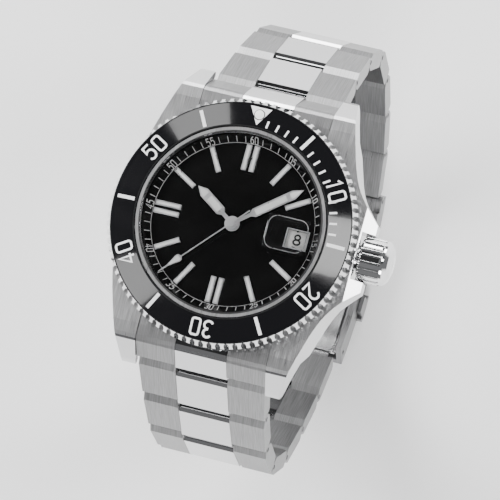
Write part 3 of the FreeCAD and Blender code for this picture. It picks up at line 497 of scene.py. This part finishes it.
def bezel_marks():
    marks = Inlay("bezel_scale", cone(INSERT), PRINT_LIFT)
    for minute in range(1, 15):
        if minute % 5:
            bar_mark(marks, minute * 6.0, 16.15, 17.35, 0.16)
    for minute in (5, 15, 25, 35, 45, 55):
        bar_mark(marks, minute * 6.0, 16.2, 19.15, 0.28)
    for number in ("10", "20", "30", "40", "50"):
        write_number(marks, number, on_clock(int(number) * 6.0, 17.7), 1.45, 2.6, 0.34, 0.62)
    marks.build(PRINT_WHITE, "bezel")
    bezel_triangle()


def chapter_marks():
    marks = Inlay("minute_scale", cone(CHAPTER), 0.02)
    for minute in range(60):
        if minute % 5:
            bar_mark(marks, minute * 6.0, 13.55, 14.3, 0.055)
    for minute in range(5, 61, 5):
        inward = 20 <= minute <= 40
        place = on_clock(minute * 6.0, 13.93, inward)
        write_number(marks, f"{minute:02d}", place, 0.52, 0.95, 0.13, 0.22)
    ring_line(marks, 13.42, 0.06)
    marks.build(PRINT_WHITE, "case")


def marker_lume():
    marks = Inlay("marker_lume", flat(MARKER_TOP), PRINT_LIFT)
    for hour in range(1, 13):
        if hour == 3:
            continue
        for offset in ((0.66, -0.66) if hour in (6, 9, 12) else (0.0,)):
            place = on_clock(hour * 30.0, 0.0)
            marks.polygon([place(offset - 0.2, 9.15), place(offset + 0.2, 9.15),
                           place(offset + 0.2, 12.95), place(offset - 0.2, 12.95)])
    marks.build(LUME, "case")


def hand_lume():
    shapes = {
        "hour_hand": [[(-0.55, 3.1), (0.55, 3.1), (0.55, 5.75), (-0.55, 5.75)],
                      [(-0.55, 6.45), (0.55, 6.45), (0.55, 6.95), (0.0, 8.05), (-0.55, 6.95)]],
        "minute_hand": [[(-0.48, 4.2), (0.48, 4.2), (0.48, 9.75), (-0.48, 9.75)],
                        [(-0.48, 10.45), (0.48, 10.45), (0.48, 11.0), (0.0, 12.4), (-0.48, 11.0)]],
        "seconds_hand": [[(-0.42, 10.0), (0.42, 10.0), (0.48, 10.3), (0.1, 12.0), (-0.1, 12.0),
                          (-0.48, 10.3)]],
    }
    for name, outlines in shapes.items():
        inlay = Inlay(name + "_lume", flat(TOPS[name]), PRINT_LIFT)
        place = on_clock(TIMES[name], 0.0)
        for outline in outlines:
            inlay.polygon([place(u, v) for u, v in outline])
        inlay.build(LUME, name)


def date_numerals():
    numerals = Inlay("date_numerals", flat(DATE_TOP), PRINT_LIFT)
    for day in range(1, DAYS + 1):
        turn = math.radians((day - SHOWN_DAY) * 360.0 / DAYS)

        def place(u, v, turn=turn):
            x, y = DATE_RADIUS + u, v
            return (x * math.cos(turn) - y * math.sin(turn),
                    x * math.sin(turn) + y * math.cos(turn))
        narrow = 0.62 if day > 9 else 1.15
        write_number(numerals, str(day), place, narrow, 1.6, 0.3, 0.28)
    numerals.build(PRINT_BLACK, "date_disc")
    frame_line = Inlay("date_window_frame", flat(DIAL_TOP), 0.06)
    half_long, half_wide = 1.7 + 0.12, 1.4 + 0.12
    corners = [(DATE_RADIUS + x, y) for x, y in ((-half_long, -half_wide), (half_long, -half_wide),
                                                 (half_long, half_wide), (-half_long, half_wide))]
    frame_line.stroke(corners, 0.2, closed=True)
    frame_line.build(HAND_STEEL, "case")


def magnifier_edge():
    """Painted highlight: a thin bright steel line round the foot of the date magnifier, standing in
    for the light its rim catches.
    """
    edge = Inlay("magnifier_edge", flat(CRYSTAL_TOP), 0.05)
    corner, half_long, half_wide = 1.5, 3.3, 2.7
    line = []
    for cx, cy, start in ((1, 1, 0), (-1, 1, 90), (-1, -1, 180), (1, -1, 270)):
        line += arc_points(MAGNIFIER_AT + cx * (half_long - corner), cy * (half_wide - corner),
                           corner, corner, start, start + 90, 6)
    edge.stroke(line, 0.13, closed=True)
    edge.build(HAND_STEEL, "case")


bezel_marks()
magnifier_edge()
chapter_marks()
marker_lume()
hand_lume()
date_numerals()


# ---- studio ---------------------------------------------------------------------------------

LENS_PIXELS = 4325.5
IMAGE_WIDTH = 500
SENSOR = 36.0
CAMERA_PLACE = (154.25, -96.81, 680.73)
CAMERA_RIGHT = (0.94922, 0.26038, -0.17659)
CAMERA_UP = (-0.22797, 0.95607, 0.18428)
DIM_WAY = (-0.217, 0.135, 0.967)            # towards the middle of the dim patch overhead
LAMP_TARGET = (0.0, 0.0, 0.012)             # metres, near the top of the crystal
BOX_REACH, SWEEP_REACH = 1.0, 0.9           # metres from the watch to the lamps


def studio_camera():
    data = bpy.data.cameras.new("camera")
    data.sensor_width = SENSOR
    data.lens = LENS_PIXELS / IMAGE_WIDTH * SENSOR
    data.clip_end = 10.0
    right, up = Vector(CAMERA_RIGHT).normalized(), Vector(CAMERA_UP).normalized()
    back = right.cross(up)
    camera = bpy.data.objects.new("camera", data)
    camera.matrix_world = Matrix((
        (right.x, up.x, back.x, CAMERA_PLACE[0] * MM),
        (right.y, up.y, back.y, CAMERA_PLACE[1] * MM),
        (right.z, up.z, back.z, CAMERA_PLACE[2] * MM),
        (0.0, 0.0, 0.0, 1.0)))
    bpy.context.scene.collection.objects.link(camera)
    bpy.context.scene.camera = camera


def softbox(name, place, size, watts):
    """A rectangular lamp turned towards the watch."""
    data = bpy.data.lights.new(name, "AREA")
    data.shape = "RECTANGLE"
    data.size, data.size_y = size
    data.energy = watts
    light = bpy.data.objects.new(name, data)
    light.location = place
    light.rotation_euler = (Vector(LAMP_TARGET) - Vector(place)).to_track_quat("-Z", "Y").to_euler()
    bpy.context.scene.collection.objects.link(light)


def studio_world():
    """Pale surround with a dim patch overhead, where the dial and bezel see the camera's side."""
    world = bpy.data.worlds.new("studio")
    bpy.context.scene.world = world
    world.use_nodes = True
    tree = world.node_tree
    background = tree.nodes["Background"]
    coords = tree.nodes.new("ShaderNodeTexCoord")
    toward = tree.nodes.new("ShaderNodeVectorMath")
    toward.operation = "DOT_PRODUCT"
    toward.inputs[1].default_value = DIM_WAY
    dim = tree.nodes.new("ShaderNodeMapRange")
    dim.interpolation_type = "SMOOTHSTEP"
    for key, value in (("From Min", 0.86), ("From Max", 0.95), ("To Min", 0.22), ("To Max", 0.04)):
        dim.inputs[key].default_value = value
    tree.links.new(coords.outputs["Generated"], toward.inputs[0])
    tree.links.new(toward.outputs["Value"], dim.inputs["Value"])
    tree.links.new(dim.outputs["Result"], background.inputs["Strength"])
    background.inputs["Color"].default_value = (0.92, 0.93, 0.95, 1.0)


def studio_floor():
    half, level = 1.5, cad_low.z - 0.0005
    mesh = bpy.data.meshes.new("floor")
    mesh.from_pydata([(-half, -half, level), (half, -half, level), (half, half, level),
                      (-half, half, level)], [], [(0, 1, 2, 3)])
    paper = Shader("floor_paper", (0.97, 0.97, 0.97), 0.7)
    grain = paper.noise(paper.coords, 900.0, 2.0)
    paper.colours(grain, (0.96, 0.96, 0.96), (0.98, 0.98, 0.98))
    mesh.materials.append(paper.material)
    floor = bpy.data.objects.new("floor", mesh)
    bpy.context.scene.collection.objects.link(floor)


studio_camera()
studio_world()
studio_floor()
# Large boxes around the watch light the floor and edge the steel; their way, size and power.
BOXES = {"box_left": ((-0.80, 0.10, 0.60), (0.50, 0.60), 13.0),
         "box_back": ((-0.15, 0.85, 0.50), (0.60, 0.40), 9.0),
         "box_right": ((0.78, 0.25, 0.57), (0.35, 0.50), 8.0),
         "box_front": ((0.25, -0.80, 0.55), (0.50, 0.30), 8.0)}
# Small lamps whose reflections are the grey sweeps on the sloping bezel insert.
SWEEPS = {"sweep_three": ((0.104, 0.135, 0.987), (0.14, 0.17), 0.7),
          "sweep_eleven": ((-0.366, 0.392, 0.845), (0.16, 0.20), 0.5),
          "sweep_seven": ((-0.422, -0.092, 0.902), (0.12, 0.19), 0.4)}
for lamps, reach in ((BOXES, BOX_REACH), (SWEEPS, SWEEP_REACH)):
    for lamp, (way, size, watts) in lamps.items():
        softbox(lamp, Vector(way) * reach, size, watts)
